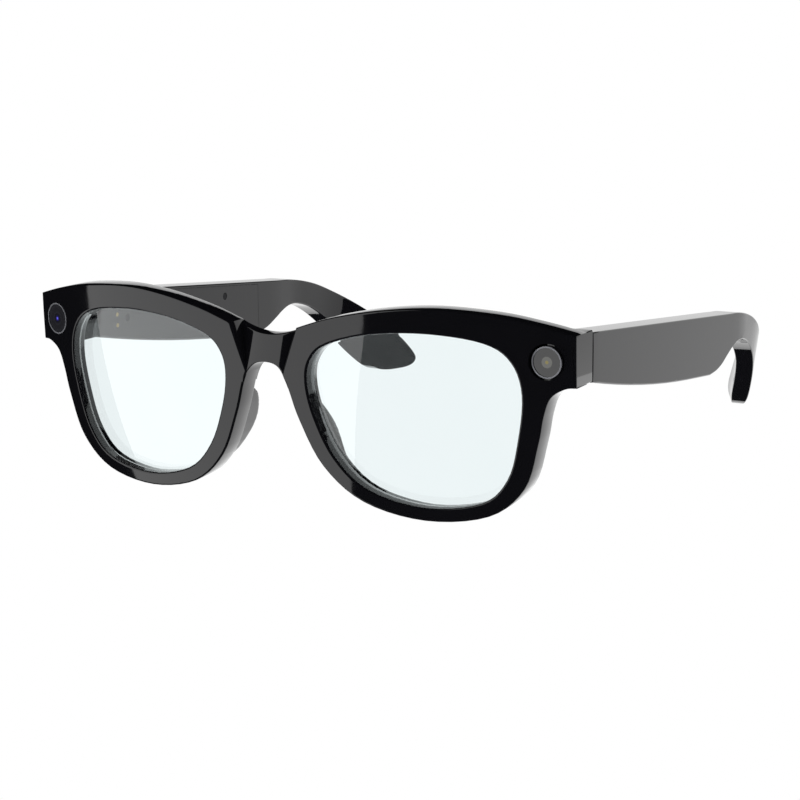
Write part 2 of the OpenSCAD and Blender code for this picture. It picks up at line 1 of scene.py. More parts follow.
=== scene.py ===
# Camera glasses: the looks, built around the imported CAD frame.
# Shapes are worked out in millimetres and written to the meshes in metres.
import math

import bmesh
import bpy
from mathutils import Matrix, Vector


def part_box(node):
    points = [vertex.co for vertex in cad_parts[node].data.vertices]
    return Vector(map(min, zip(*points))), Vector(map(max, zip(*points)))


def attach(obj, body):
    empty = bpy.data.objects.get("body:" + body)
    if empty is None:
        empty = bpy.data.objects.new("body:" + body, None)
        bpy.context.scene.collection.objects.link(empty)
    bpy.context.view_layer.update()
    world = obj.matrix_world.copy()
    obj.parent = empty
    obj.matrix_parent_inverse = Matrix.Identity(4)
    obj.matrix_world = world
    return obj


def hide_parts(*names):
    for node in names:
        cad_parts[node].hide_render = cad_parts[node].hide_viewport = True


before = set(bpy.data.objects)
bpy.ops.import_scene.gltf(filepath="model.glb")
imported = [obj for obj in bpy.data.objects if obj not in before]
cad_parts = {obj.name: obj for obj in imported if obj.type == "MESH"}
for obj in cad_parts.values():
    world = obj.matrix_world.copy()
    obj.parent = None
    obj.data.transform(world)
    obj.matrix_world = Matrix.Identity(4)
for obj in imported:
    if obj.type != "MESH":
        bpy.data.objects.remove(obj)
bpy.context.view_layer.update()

# ---- Camera ----
# A 90 mm lens at half a metre, a little above and to the wearer's left of the
# front, as a product shot of small glasses is taken.
camera_data = bpy.data.cameras.new("camera")
camera_data.lens = 90
camera_data.sensor_width = 36
camera_data.clip_start = 0.01
camera = bpy.data.objects.new("camera", camera_data)
bpy.context.scene.collection.objects.link(camera)
camera.matrix_world = (
    Matrix.Translation((0.2413, -0.4609, 0.1196))
    @ Matrix.Rotation(math.radians(28.69), 4, "Z")
    @ Matrix.Rotation(math.radians(78.1), 4, "X")
    @ Matrix.Rotation(math.radians(-0.52), 4, "Z")
)
bpy.context.scene.camera = camera

# ---- Studio ----
# A pale floor inside a large pale dome, and flat reflector cards. Glossy black
# plastic shows its shape only by what it mirrors, so the cards matter most.
bpy.context.scene.view_settings.view_transform = "Standard"


def linear(code):
    """An sRGB hex colour as linear red, green, blue and alpha."""
    parts = [int(code[i:i + 2], 16) / 255 for i in (1, 3, 5)]
    return [c / 12.92 if c < 0.04045 else ((c + 0.055) / 1.055) ** 2.4 for c in parts] + [1]


def add(tree, kind, links=(), **settings):
    """Adds a shader node. A setting is an attribute or a socket's value, and a
    link is an output and the name of the socket it feeds."""
    node = tree.nodes.new("ShaderNode" + kind)
    for key, value in settings.items():
        if key in node.inputs:
            node.inputs[key].default_value = value
        elif hasattr(node, key):
            setattr(node, key, value)
        else:
            node.inputs[key.replace("_", " ")].default_value = value
    for source, socket in links:
        tree.links.new(source, node.inputs[socket])
    return node


def new_material(name):
    material = bpy.data.materials.new(name)
    material.use_nodes = True
    tree = material.node_tree
    tree.nodes.clear()
    return material, tree, add(tree, "OutputMaterial")


def glow(name, colour, strength):
    material, tree, output = new_material(name)
    light = add(tree, "Emission", Color=linear(colour), Strength=strength)
    tree.links.new(light.outputs[0], output.inputs["Surface"])
    return material


def as_object(name, bm, *materials):
    mesh = bpy.data.meshes.new(name)
    bm.to_mesh(mesh)
    bm.free()
    obj = bpy.data.objects.new(name, mesh)
    bpy.context.scene.collection.objects.link(obj)
    for material in materials:
        mesh.materials.append(material)
    return obj


def reflector(name, corners, strength):
    """A flat card that only mirrors see. Corners are in metres."""
    bm = bmesh.new()
    bm.faces.new([bm.verts.new(c) for c in corners])
    obj = as_object(name, bm, glow(name, "#ffffff", strength))
    obj.visible_camera = obj.visible_diffuse = obj.visible_shadow = False
    obj.visible_transmission = False


bm = bmesh.new()
bmesh.ops.create_grid(bm, x_segments=1, y_segments=1, size=3)
bmesh.ops.translate(bm, verts=bm.verts, vec=(0, -1.2, -0.0003))
floor = as_object("floor", bm, glow("floor_paper", "#ffffff", 1.0))
floor.visible_glossy = False
floor.visible_shadow = False
bm = bmesh.new()
bmesh.ops.create_uvsphere(bm, u_segments=48, v_segments=24, radius=4)
bmesh.ops.reverse_faces(bm, faces=bm.faces)
backdrop = as_object("backdrop", bm, glow("backdrop_paper", "#ffffff", 1.0))
backdrop.visible_glossy = False
backdrop.visible_shadow = False

world = bpy.data.worlds.new("studio")
world.use_nodes = True
world.node_tree.nodes["Background"].inputs["Color"].default_value = linear("#000000")
bpy.context.scene.world = world


def towards(azimuth, elevation, distance):
    """A point in a direction: azimuth 0 is in front, positive to the wearer's left."""
    a, e = math.radians(azimuth), math.radians(elevation)
    return (distance * math.sin(a) * math.cos(e), -distance * math.cos(a) * math.cos(e),
            distance * math.sin(e))


card_away = 2
card_corners = [(-64, -50), (-30, -50), (-15.3, -8), (-13, 40), (-62.5, 40)]
reflector("card_front", [towards(a, e, card_away) for a, e in card_corners], 1.6)
for name, low, high, strength in (("card_back", -0.55, 0.78, 0.9),
                                  ("card_back_low", -3, -0.55, 1.5)):
    reflector(name, [(-3, card_away, low), (3, card_away, low),
                     (3, card_away, high), (-3, card_away, high)], strength)

# ---- Front ----
# One injection moulding in glossy black: two rims with a bevelled edge, a bridge
# that sits back between them, and an end piece at each side that takes the hinge.
front_r = 225
foremost_y = -84.7155
front_y = foremost_y + front_r
front_z = 44.95
corner_z = 44.25
rim_depth = 6
rim_narrow = 3.3
end_x = 72
end_w = 10.9
end_h = 11.6
parting_y = -63.58
parting_half = 0.15
edge_bevel = 0.55


def smooth_loop(points, steps=5):
    """A closed curve through points, as one list of points."""
    out = []
    for i in range(len(points)):
        a, b, c, d = (Vector(points[(i + k) % len(points)]) for k in (-1, 0, 1, 2))
        out += [smooth_step(a, b, c, d, j / steps) for j in range(steps)]
    return out


def smooth_step(a, b, c, d, t):
    return 0.5 * (2 * b + (c - a) * t + (2 * a - 5 * b + 4 * c - d) * t ** 2
                  + (3 * b - a - 3 * c + d) * t ** 3)


def smooth_line(points, steps=5):
    """An open curve through points, both ends kept."""
    held = [points[0]] + list(points) + [points[-1]]
    out = []
    for i in range(len(points) - 1):
        a, b, c, d = (Vector(p) for p in held[i:i + 4])
        out += [smooth_step(a, b, c, d, j / steps) for j in range(steps)]
    return out + [Vector(points[-1])]


def on_front(x, depth, z):
    """The point at a depth behind the spherical front face."""
    reach = (front_r - depth) ** 2 - x ** 2 - (z - front_z) ** 2
    return Vector((x, front_y - math.sqrt(reach), z))


def sheet_of(outline, holes=(), bevel=edge_bevel, bevel_steps=3, cell=2.0):
    """A flat face in X and Z with rounded edges, cut into cells, at Y = depth."""
    bm = bmesh.new()
    edges = []
    for loop in [outline] + list(holes):
        ring = [bm.verts.new((p[0], bevel, p[1])) for p in loop]
        edges += [bm.edges.new((a, b)) for a, b in zip(ring, ring[1:] + ring[:1])]
    if holes:
        bmesh.ops.triangle_fill(bm, use_beauty=True, use_dissolve=False, edges=edges)
    else:
        bm.faces.new(ring)
    bm.normal_update()
    for face in bm.faces:
        if face.normal.y > 0:
            face.normal_flip()
    inner = list(bm.faces)
    gone, sunk = 0, bevel
    for i in range(1, bevel_steps + 1):
        a = i / bevel_steps * math.pi / 2
        step = bevel * (1 - math.cos(a)) - gone
        rise = sunk - bevel * (1 - math.sin(a))
        bmesh.ops.inset_region(bm, faces=inner, thickness=step, depth=rise,
                               use_boundary=True, use_even_offset=True)
        gone, sunk = gone + step, sunk - rise
    xs = [v.co.x for v in bm.verts]
    zs = [v.co.z for v in bm.verts]
    for axis, low, high in ((0, min(xs), max(xs)), (2, min(zs), max(zs))):
        at = math.ceil(low / cell) * cell + 0.013
        while at < high:
            centre, normal = Vector((0, 0, 0)), Vector((0, 0, 0))
            centre[axis], normal[axis] = at, 1
            bmesh.ops.bisect_plane(bm, geom=bm.verts[:] + bm.edges[:] + bm.faces[:],
                                   dist=1e-5, plane_co=centre, plane_no=normal)
            at += cell
    return bm


def loops_of(edges):
    """Open edges grouped into the loops they form."""
    left, out = set(edges), []
    while left:
        first = min(left, key=lambda e: e.index)
        left.remove(first)
        group, todo = set(), [first]
        while todo:
            edge = todo.pop()
            group.add(edge)
            for v in edge.verts:
                for e in v.link_edges:
                    if e in left:
                        left.remove(e)
                        todo.append(e)
        out.append(sorted(group, key=lambda e: e.index))
    return out


def thicken(bm, depth):
    """A second sheet, mirrored at the depth, and walls between the two."""
    front = bm.verts[:] + bm.edges[:] + bm.faces[:]
    bm.edges.index_update()
    copy = bmesh.ops.duplicate(bm, geom=front)
    pairs = copy["edge_map"]
    faces = [g for g in copy["geom"] if isinstance(g, bmesh.types.BMFace)]
    for g in copy["geom"]:
        if isinstance(g, bmesh.types.BMVert):
            g.co.y = depth - g.co.y
    bmesh.ops.reverse_faces(bm, faces=faces)
    open_edges = [e for e in front if isinstance(e, bmesh.types.BMEdge) and e.is_boundary]
    for loop in loops_of(open_edges):
        bmesh.ops.bridge_loops(bm, edges=loop + [pairs[e] for e in loop])
    bmesh.ops.recalc_face_normals(bm, faces=bm.faces)


def join_into(bm, other):
    mesh = bpy.data.meshes.new("part")
    other.to_mesh(mesh)
    other.free()
    bm.from_mesh(mesh)
    bpy.data.meshes.remove(mesh)


# Lens opening, as shares of its width and height, from the nose side of its top
# edge down, round the bottom and back up
opening_shares = [(0.107, 0.909), (0.022, 0.815), (0, 0.683), (0.032, 0.489), (0.121, 0.252),
                  (0.273, 0.078), (0.535, 0), (0.798, 0.049), (0.921, 0.198), (0.976, 0.427),
                  (1, 0.683), (0.956, 0.862), (0.838, 0.961), (0.586, 1), (0.323, 0.981)]
opening_w = 49.5
opening_h = 40.2
bridge_half = 11
opening_knots = [(bridge_half + opening_w * a, rim_narrow + opening_h * b - 0.003)
                 for a, b in opening_shares]
opening = smooth_loop(opening_knots)


def away(points, i):
    """The outward direction at a point of a closed outline."""
    d = Vector(points[(i + 1) % len(points)]) - Vector(points[i - 1])
    return Vector((d.y, -d.x)).normalized()


# The rim is widest at its sides
rim_wider = 1.2
rim_knots = []
for i in range(3, 10):
    out = away(opening_knots, i)
    rim_knots.append(Vector(opening_knots[i]) + (rim_narrow + rim_wider * out.x ** 2) * out)
rim_low = smooth_line([(4.7, corner_z - 12.1), (6.1, corner_z - 15.6)] + rim_knots
                      + [(65, corner_z - 18.3), (66.6, corner_z - 13.9),
                         (69.6, corner_z - 11.85), (end_x, corner_z - 11.6)])
rim_top = smooth_line([(end_x, corner_z), (64.3, corner_z + 2.1), (54.3, corner_z + 4.05),
                       (41, corner_z + 4.95), (29, corner_z + 4.05), (17.6, corner_z + 1.8),
                       (10, corner_z - 0.6)])[:-1] + [Vector((8.75, corner_z - 1.05))]


def mirrored(bm, side):
    """The shape as it is for the wearer's left, or mirrored for the right."""
    if side < 0:
        bmesh.ops.scale(bm, vec=(-1, 1, 1), verts=bm.verts)
        bmesh.ops.reverse_faces(bm, faces=bm.faces)
    return bm


def rim_plate(side):
    bm = sheet_of(rim_low + rim_top, [opening])
    thicken(bm, rim_depth)
    for v in bm.verts:
        v.co = on_front(v.co.x, v.co.y, v.co.z)
    # the end piece's outer wall belongs to the block behind, a hair further out
    for v in bm.verts:
        if v.co.x > end_x - 0.02 and v.co.y > on_front(end_x, edge_bevel + 0.05, v.co.z).y:
            v.co.x = end_x - 0.05
    return mirrored(bm, side)


def end_block(side):
    bm = bmesh.new()
    bmesh.ops.create_cube(bm, size=1)
    bmesh.ops.scale(bm, vec=(end_w, 12, end_h), verts=bm.verts)
    bmesh.ops.translate(bm, vec=(end_x - end_w / 2, parting_y - parting_half - 6,
                                 corner_z - end_h / 2), verts=bm.verts)
    long_edges = [e for e in bm.edges if abs(e.verts[0].co.y - e.verts[1].co.y) > 5]
    bmesh.ops.bevel(bm, geom=long_edges, offset=0.35, segments=3, profile=0.5,
                    affect="EDGES", material=-1)
    for k in range(1, 6):
        bmesh.ops.bisect_plane(bm, geom=bm.verts[:] + bm.edges[:] + bm.faces[:], dist=1e-5,
                               plane_co=(end_x - 2 * k, 0, 0), plane_no=(1, 0, 0))
    for v in bm.verts:
        if v.co.y < parting_y - 5:
            v.co.y = on_front(v.co.x, edge_bevel, v.co.z).y
    return mirrored(bm, side)


bridge_lean = math.radians(17)
bridge_round = 24


def bridge_sink(x, z):
    """How far the bridge's face sits behind the rims' face: deep at its top and
    flush at its foot, and rounded from side to side."""
    foot_z, foot_y = corner_z - 11.7, foremost_y + 0.25
    lean_y = foot_y + math.tan(bridge_lean) * (z - foot_z) + bridge_round / math.cos(bridge_lean)
    face_y = lean_y - math.sqrt(bridge_round ** 2 - x ** 2) / math.cos(bridge_lean)
    return max(0.02, face_y - on_front(x, 0, z).y)


def front_bridge():
    bm = bmesh.new()
    bmesh.ops.create_grid(bm, x_segments=28, y_segments=14, size=1)
    for v in bm.verts:
        t = (v.co.y + 1) / 2
        x = v.co.x * (6.0 + 3.4 * t)
        under = corner_z - 9.7 - 0.05 * x ** 2 - 0.0028 * x ** 4
        over = corner_z - 3.4 + 0.027 * x ** 2
        z = under + (over - under) * t
        v.co = on_front(x, bridge_sink(x, z), z)
    bmesh.ops.recalc_face_normals(bm, faces=bm.faces)
    if bm.faces[0].normal.y > 0:
        bmesh.ops.reverse_faces(bm, faces=bm.faces)
    rim = [e for e in bm.edges if e.is_boundary]
    grown = bmesh.ops.extrude_edge_only(bm, edges=rim)
    for g in grown["geom"]:
        if isinstance(g, bmesh.types.BMVert):
            g.co = on_front(g.co.x, rim_depth, g.co.z)
    bmesh.ops.holes_fill(bm, edges=[e for e in bm.edges if e.is_boundary])
    bmesh.ops.bevel(bm, geom=rim, offset=0.5, segments=3, profile=0.5, affect="EDGES",
                    clamp_overlap=True, material=-1)
    bmesh.ops.recalc_face_normals(bm, faces=bm.faces)
    return bm


def cut(bm, *cutters):
    """A closed shape less some cutters, all as bmeshes in millimetres."""
    body = as_object("cut_body", bm)
    for tool in cutters:
        tool_obj = as_object("cutter", tool)
        step = body.modifiers.new("cut", "BOOLEAN")
        step.operation, step.solver, step.object = "DIFFERENCE", "EXACT", tool_obj
        bpy.context.view_layer.update()
        graph = bpy.context.evaluated_depsgraph_get()
        mesh = bpy.data.meshes.new_from_object(body.evaluated_get(graph))
        body.modifiers.clear()
        old, body.data = body.data, mesh
        bpy.data.meshes.remove(old)
        bpy.data.objects.remove(tool_obj)
    out = bmesh.new()
    out.from_mesh(body.data)
    bpy.data.objects.remove(body)
    return out


def rod(radius, length, matrix, count=72):
    """A cutter or pin along the local Z axis, from the place of the matrix on."""
    bm = bmesh.new()
    bmesh.ops.create_cone(bm, cap_ends=True, radius1=radius, radius2=radius, depth=length,
                          segments=count,
                          matrix=matrix @ Matrix.Translation((0, 0, length / 2)))
    return bm


def brick(low, high):
    bm = bmesh.new()
    bmesh.ops.create_cube(bm, size=1)
    bmesh.ops.scale(bm, vec=Vector(high) - Vector(low), verts=bm.verts)
    bmesh.ops.translate(bm, vec=(Vector(high) + Vector(low)) / 2, verts=bm.verts)
    return bm


def finish_edges(obj, angle=40):
    """Smooth shading that stays flat on flat faces and breaks at corners."""
    bm = bmesh.new()
    bm.from_mesh(obj.data)
    for face in bm.faces:
        face.smooth = True
    for edge in bm.edges:
        edge.smooth = not (edge.is_manifold and edge.calc_face_angle(0) > math.radians(angle))
    bm.to_mesh(obj.data)
    bm.free()
    weighted = obj.modifiers.new("flat_faces", "WEIGHTED_NORMAL")
    weighted.keep_sharp = True
    return obj


def finish_curved_faces(obj):
    """The front's two large faces shade as the spheres they are, up to the bevels."""
    obj.modifiers.clear()
    mesh, centre = obj.data, Vector((0, front_y, front_z)) / 1000
    normals = [n.vector.copy() for n in mesh.corner_normals]
    for face in mesh.polygons:
        for i in face.loop_indices:
            arm = mesh.vertices[mesh.loops[i].vertex_index].co - centre
            for reach, sign in ((front_r, 1), (front_r - rim_depth, -1)):
                straight = arm.normalized() * sign
                if abs(arm.length * 1000 - reach) < 0.004 and face.normal.dot(straight) > 0.8:
                    normals[i] = straight
    mesh.normals_split_custom_set(normals)


def place(name, bm, material, body, replaced, angle=40):
    """A finished piece: into metres, shaded, on its body and in place of its CAD node."""
    bmesh.ops.scale(bm, vec=(0.001,) * 3, verts=bm.verts)
    obj = finish_edges(as_object(name, bm, material), angle)
    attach(obj, body)
    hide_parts(replaced)
    return obj


hinge_x = 65
hinge_cut_r = 2
window_seat_r, window_seat_deep = 3.88, 1.2
barrel_bore_r, barrel_bore_deep = 2.6, 6
dish_r, dish_deep = 4.05, 0.5
light_bore_r, light_bore_deep = 3.58, 3.6
clear = 20
# Mouth for the hinge leaf and the cavity in front of it: x, then z
mouth = ((62.2, 70.9), (33.35, 43.25))
cavity = ((61.9, 70.6), (33.85, 42.95))
disc = on_front(66.1, 0, 38.45)
disc_yaw = math.asin(disc.x / front_r)
along_y = Matrix.Rotation(math.radians(-90), 4, "X")
camera_seat = (Matrix.Translation((-disc.x, disc.y, disc.z))
               @ Matrix.Rotation(-disc_yaw, 4, "Z") @ along_y)
light_seat = Matrix.Translation(disc) @ along_y


def bores(side):
    """The round seat in an end piece: the camera's on the wearer's right, square
    to the curved face, and the light's dish on the left, square to the front."""
    before = Matrix.Translation((0, 0, -clear))
    if side < 0:
        return [rod(window_seat_r, clear + window_seat_deep, camera_seat @ before),
                rod(barrel_bore_r, barrel_bore_deep + 2,
                    camera_seat @ Matrix.Translation((0, 0, -2)))]
    return [rod(dish_r, clear + dish_deep, light_seat @ before),
            rod(light_bore_r, clear + light_bore_deep, light_seat @ before)]


def hinge_cut(side):
    """The round clearance for the knuckles, open below and closed at the top."""
    return rod(hinge_cut_r, 60, Matrix.Translation((side * hinge_x, parting_y, -17.55)))


def hollow(span, deep, side):
    (x_low, x_high), (z_low, z_high) = span
    return mirrored(brick((x_low, parting_y - deep, z_low), (x_high, parting_y + 9, z_high)),
                    side)


front = bmesh.new()
for side in (1, -1):
    join_into(front, cut(rim_plate(side), *bores(side)))
    join_into(front, cut(end_block(side), hollow(cavity, 7.5, side), hollow(mouth, 1.65, side),
                         hinge_cut(side), *bores(side)))
join_into(front, front_bridge())


def moulded_plastic(name, colour, shine, ripple, texture_mm):
    """Injection-moulded plastic: a shine that varies with handling and a faint
    ripple from the mould's polish. Plastic has an IOR of 1.5."""
    material, tree, output = new_material(name)
    spot = add(tree, "TexCoord")
    handling = add(tree, "TexNoise", [(spot.outputs["Object"], "Vector")],
                   Scale=1000 / 9, Detail=4, Roughness=0.6)
    rough = add(tree, "MapRange", [(handling.outputs["Fac"], "Value")],
                **{"From Min": 0.35, "From Max": 0.65,
                  "To Min": shine * 0.7, "To Max": shine * 1.3})
    tint = add(tree, "MixRGB", [(handling.outputs["Fac"], "Fac")], Color1=linear(colour),
               Color2=[c * 1.35 for c in linear(colour)[:3]] + [1])
    grain = add(tree, "TexNoise", [(spot.outputs["Object"], "Vector")],
                Scale=1000 / texture_mm, Detail=2)
    bump = add(tree, "Bump", [(grain.outputs["Fac"], "Height")], Strength=ripple, Distance=0.0001)
    shader = add(tree, "BsdfPrincipled", [(tint.outputs[0], "Base Color"),
                                          (rough.outputs[0], "Roughness"),
                                          (bump.outputs[0], "Normal")], IOR=1.5)
    tree.links.new(shader.outputs[0], output.inputs["Surface"])
    return material


gloss_black = moulded_plastic("moulded_gloss_black", "#08080a", 0.04, 0.02, 3.0)
finish_curved_faces(place("front_moulding", front, gloss_black, "front", "front_frame"))


def finish(material, *names):
    """Gives CAD nodes whose shape is right a finished material."""
    for name in names:
        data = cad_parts[name].data
        data.materials.clear()
        data.materials.append(material)


# ---- Brow cover ----
# A curved strip snapped into the back of the brow and bridge, over the cable.
# Fine satin moulded, from a spark-eroded mould, so it mirrors less than the front.
satin_black = moulded_plastic("moulded_satin_black", "#101012", 0.3, 0.12, 0.25)
finish(satin_black, "brow_cover")

# ---- Nose pads ----
# A rounded blade behind the nose side of each rim, moulded in the front's black
# and polished, and standing straight back from it.
pad_voxel = 0.22
pad_smoothing = 24
pad_root = 1.5


def nose_pad(side):
    node = "nose_pad_left" if side > 0 else "nose_pad_right"
    bm = bmesh.new()
    bm.from_mesh(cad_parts[node].data)
    bmesh.ops.remove_doubles(bm, verts=bm.verts, dist=1e-6)
    bmesh.ops.scale(bm, vec=(1000,) * 3, verts=bm.verts)
    for v in bm.verts:
        if v.co.y < on_front(v.co.x, rim_depth, v.co.z).y + 0.3:
            v.co.y -= pad_root
    blade = as_object("blade", bm)
    for kind, values in (("REMESH", {"mode": "VOXEL", "voxel_size": pad_voxel}),
                         ("SMOOTH", {"factor": 0.5, "iterations": pad_smoothing})):
        step = blade.modifiers.new(kind, kind)
        for key, value in values.items():
            setattr(step, key, value)
    bpy.context.view_layer.update()
    graph = bpy.context.evaluated_depsgraph_get()
    mesh = bpy.data.meshes.new_from_object(blade.evaluated_get(graph))
    bpy.data.objects.remove(blade)
    bm = bmesh.new()
    bm.from_mesh(mesh)
    bpy.data.meshes.remove(mesh)
    place(node + "_rounded", bm, gloss_black, "front", node, 80)


nose_pad(1)
nose_pad(-1)

# ---- Lenses ----
# Two clear lenses, 2 mm thick on the front's curve, reaching 1 mm into the rim's wall where the
# real ones sit in a groove 1.1 mm deep; the groove itself is not cut. Coated against glare, with a
# faint cyan cast.
lens_back = 2.25
lens_t = 2.0


def coated_lens():
    material, tree, output = new_material("coated_lens_polycarbonate")
    spot = add(tree, "TexCoord")
    smear = add(tree, "TexNoise", [(spot.outputs["Object"], "Vector")], Scale=1000 / 14, Detail=3)
    tint = add(tree, "MixRGB", [(smear.outputs["Fac"], "Fac")], Color1=linear("#f1fafb"),
               Color2=linear("#f5fdfe"))
    rough = add(tree, "MapRange", [(smear.outputs["Fac"], "Value")],
                **{"To Min": 0.0, "To Max": 0.012})
    shader = add(tree, "BsdfPrincipled", [(tint.outputs[0], "Base Color"),
                                          (rough.outputs[0], "Roughness")], IOR=1.586,
                 **{"Transmission Weight": 1.0})
    tree.links.new(shader.outputs[0], output.inputs["Surface"])
    return material


lens_plastic = coated_lens()
for side, name in ((1, "left"), (-1, "right")):
    grown = [p + away(opening, i) for i, p in enumerate(opening)]
    bm = sheet_of(grown, bevel=0.15, bevel_steps=1)
    thicken(bm, lens_t)
    for v in bm.verts:
        v.co = on_front(v.co.x, v.co.y + lens_back, v.co.z)
    bmesh.ops.recalc_face_normals(bm, faces=bm.faces)
    place("lens_" + name + "_cut", mirrored(bm, side), lens_plastic, "front", "lens_" + name,
          60)

# ---- Camera window and light window ----
# Round windows of dark glass in a thin turned ring. Printed bands hide what is behind, and the
# light window's middle shows the yellow chip.
# In the camera window the middle stands for the camera's coated lens: its blue-violet centre is a
# painted glint, and its greys are the glass's own dark colour lifted by painted reflection.


def banded_window(name, centre, yaw, bands, coat):
    """Bands of colour by distance from the window's axis: (radius in mm, colour)."""
    material, tree, output = new_material(name)
    spot = add(tree, "TexCoord")
    centred = add(tree, "Mapping", [(spot.outputs["Object"], "Vector")], vector_type="TEXTURE",
                  Location=[c / 1000 for c in centre], Rotation=(0, 0, yaw))
    flat = add(tree, "VectorMath", [(centred.outputs[0], 0)], operation="MULTIPLY")
    flat.inputs[1].default_value = (1000, 0, 1000)
    reach = add(tree, "VectorMath", [(flat.outputs[0], 0)], operation="LENGTH")
    share = add(tree, "MapRange", [(reach.outputs["Value"], "Value")],
                **{"From Min": 0.0, "From Max": 4.0})
    ramp = add(tree, "ValToRGB", [(share.outputs[0], "Fac")])
    ramp.color_ramp.interpolation = "LINEAR"
    marks = ramp.color_ramp.elements
    marks[0].position, marks[0].color = 0, linear(bands[0][1])
    marks[1].position, marks[1].color = 1, linear(bands[-1][1])
    for (radius, _), (_, colour), (_, before) in zip(bands, bands[1:], bands):
        for at, code in ((radius - 0.06, before), (radius + 0.06, colour)):
            mark = marks.new(at / 4)
            mark.color = linear(code)
    dust = add(tree, "TexNoise", [(spot.outputs["Object"], "Vector")], Scale=1000 / 1.5)
    rough = add(tree, "MapRange", [(dust.outputs["Fac"], "Value")],
                **{"To Min": 0.01, "To Max": 0.05})
    shader = add(tree, "BsdfPrincipled", [(ramp.outputs[0], "Base Color"),
                                          (rough.outputs[0], "Roughness")], IOR=1.52,
                 **{"Specular Tint": linear(coat), "Coat Weight": 0.3, "Coat Roughness": 0.02})
    tree.links.new(shader.outputs[0], output.inputs["Surface"])
    return material


# The camera window's blue-violet centre is a painted glint, and its greys are partly painted
# reflection.
finish(banded_window("camera_glass_painted_glint", (-disc.x, disc.y, disc.z), -disc_yaw,
                     [(0.3, "#6a66f0"), (0.65, "#24215c"), (1.3, "#17171c"), (1.6, "#242428"),
                      (2.6, "#1d1d20"), (4, "#202023")], "#9a8cff"),
       "camera_window")
finish(banded_window("smoked_light_glass", disc, 0,
                     [(0.4, "#6a5f22"), (1.25, "#474743"), (4, "#030304")], "#ffffff"),
       "light_window")

# ---- Rings, barrel and chip ----
# A turned and anodised aluminium ring round each window, the camera's moulded
# lens barrel behind its window, and the light's chip under yellow resin.


def worked_metal(name, colour, shine, grit_mm, along="X"):
    """Metal with fine marks along one axis, from turning, drawing or brushing."""
    material, tree, output = new_material(name)
    spot = add(tree, "TexCoord")
    stretch = add(tree, "Mapping", [(spot.outputs["Object"], "Vector")])
    stretch.inputs["Scale"].default_value = [0.05 if a == along else 1 for a in "XYZ"]
    marks = add(tree, "TexNoise", [(stretch.outputs[0], "Vector")], Scale=1000 / grit_mm, Detail=3)
    rough = add(tree, "MapRange", [(marks.outputs["Fac"], "Value")],
                **{"To Min": shine * 0.7, "To Max": shine * 1.4})
    bump = add(tree, "Bump", [(marks.outputs["Fac"], "Height")], Strength=0.25, Distance=0.00002)
    tint = add(tree, "MixRGB", [(marks.outputs["Fac"], "Fac")], Color1=linear(colour),
               Color2=[c * 0.8 for c in linear(colour)[:3]] + [1])
    shader = add(tree, "BsdfPrincipled", [(tint.outputs[0], "Base Color"),
                                          (rough.outputs[0], "Roughness"),
                                          (bump.outputs[0], "Normal")], Metallic=1.0)
    tree.links.new(shader.outputs[0], output.inputs["Surface"])
    return material


finish(worked_metal("anodised_turned_aluminium", "#8c8d92", 0.45, 0.15, "Z"),
       "camera_ring", "light_ring")
finish(moulded_plastic("moulded_barrel_black", "#0a0a0b", 0.45, 0.1, 0.2), "camera_barrel")
finish(moulded_plastic("phosphor_resin", "#c8b23c", 0.5, 0.2, 0.1), "light_chip")

# ---- Temples ----
# Two hollow side arms, each one moulding in the front's black: a flat slab that
# grows to the rear, dips at the ear and curls down and inwards to a round tip.
temple_len = 148.3
temple_t = 7
temple_h = 11.3
temple_grow = 3.9
slope_deg = 6
slope = math.tan(math.radians(slope_deg))
tip_in = 14.4
tip_thinner = 1.9
wall = 1.2
cover_t = 1.1
leaf_pocket = 1.7
cavity_end = 0.525 * temple_len
button_at = 23.6
edge_round = 0.45
tip_round_z = 6
tip_end_t = 0.45
lean_most = 3


def temple_top(s):
    return corner_z - 0.5 - slope * s


def temple_low(s):
    grow_s = 0.42 * temple_len
    return temple_top(s) - temple_h - temple_grow * (1 - (1 - min(s, grow_s) / grow_s) ** 2)


# Shares of the length and of the corner's height, over the ear, round and back
ear_shares = [(0.711, 0.723), (0.76, 0.676), (0.813, 0.603), (0.867, 0.506), (0.921, 0.379),
              (0.968, 0.231), (0.997, 0.1), (1, 0.045), (0.987, 0.01), (0.962, 0),
              (0.927, 0.008), (0.9, 0.04), (0.87, 0.13), (0.835, 0.252), (0.8, 0.368),
              (0.763, 0.468), (0.724, 0.541), (0.684, 0.582), (0.652, 0.588), (0.624, 0.568),
              (0.596, 0.532), (0.568, 0.493), (0.542, 0.473)]
temple_side = ([(parting_half, temple_low(parting_half)), (parting_half, temple_top(parting_half))]
               + smooth_line([(f * temple_len, temple_top(f * temple_len)) for f in (0.62, 0.66)]
                             + [(f * temple_len, z * corner_z) for f, z in ear_shares]
                             + [(0.51 * temple_len, temple_low(0.51 * temple_len))], 4)
               + [(i / 20 * temple_len, temple_low(i / 20 * temple_len))
                  for i in range(9, 0, -1)])


def temple_point(s, depth, z):
    """Where a point at a depth behind the outer face of the flat temple goes."""
    f = s / temple_len
    bent = max(0, (f - 0.66) / 0.34)
    thick = temple_t - tip_thinner * min(1, max(0, (f - 0.6) / 0.2))
    ramp = min(1, max(0, (f - 0.7) / 0.18))
    lean = lean_most * ramp ** 2 * (3 - 2 * ramp) * (z / (0.5 * corner_z) - 0.55)
    end = min(1, max(0, z / tip_round_z)) if f > 0.85 else 1
    round_off = tip_end_t + (1 - tip_end_t) * math.sqrt(1 - (1 - end) ** 2)
    depth = temple_t / 2 + (depth - temple_t / 2) * round_off
    x = end_x - tip_in * bent ** 1.6 + lean - depth * thick / temple_t
    return Vector((x, parting_y + s, z))


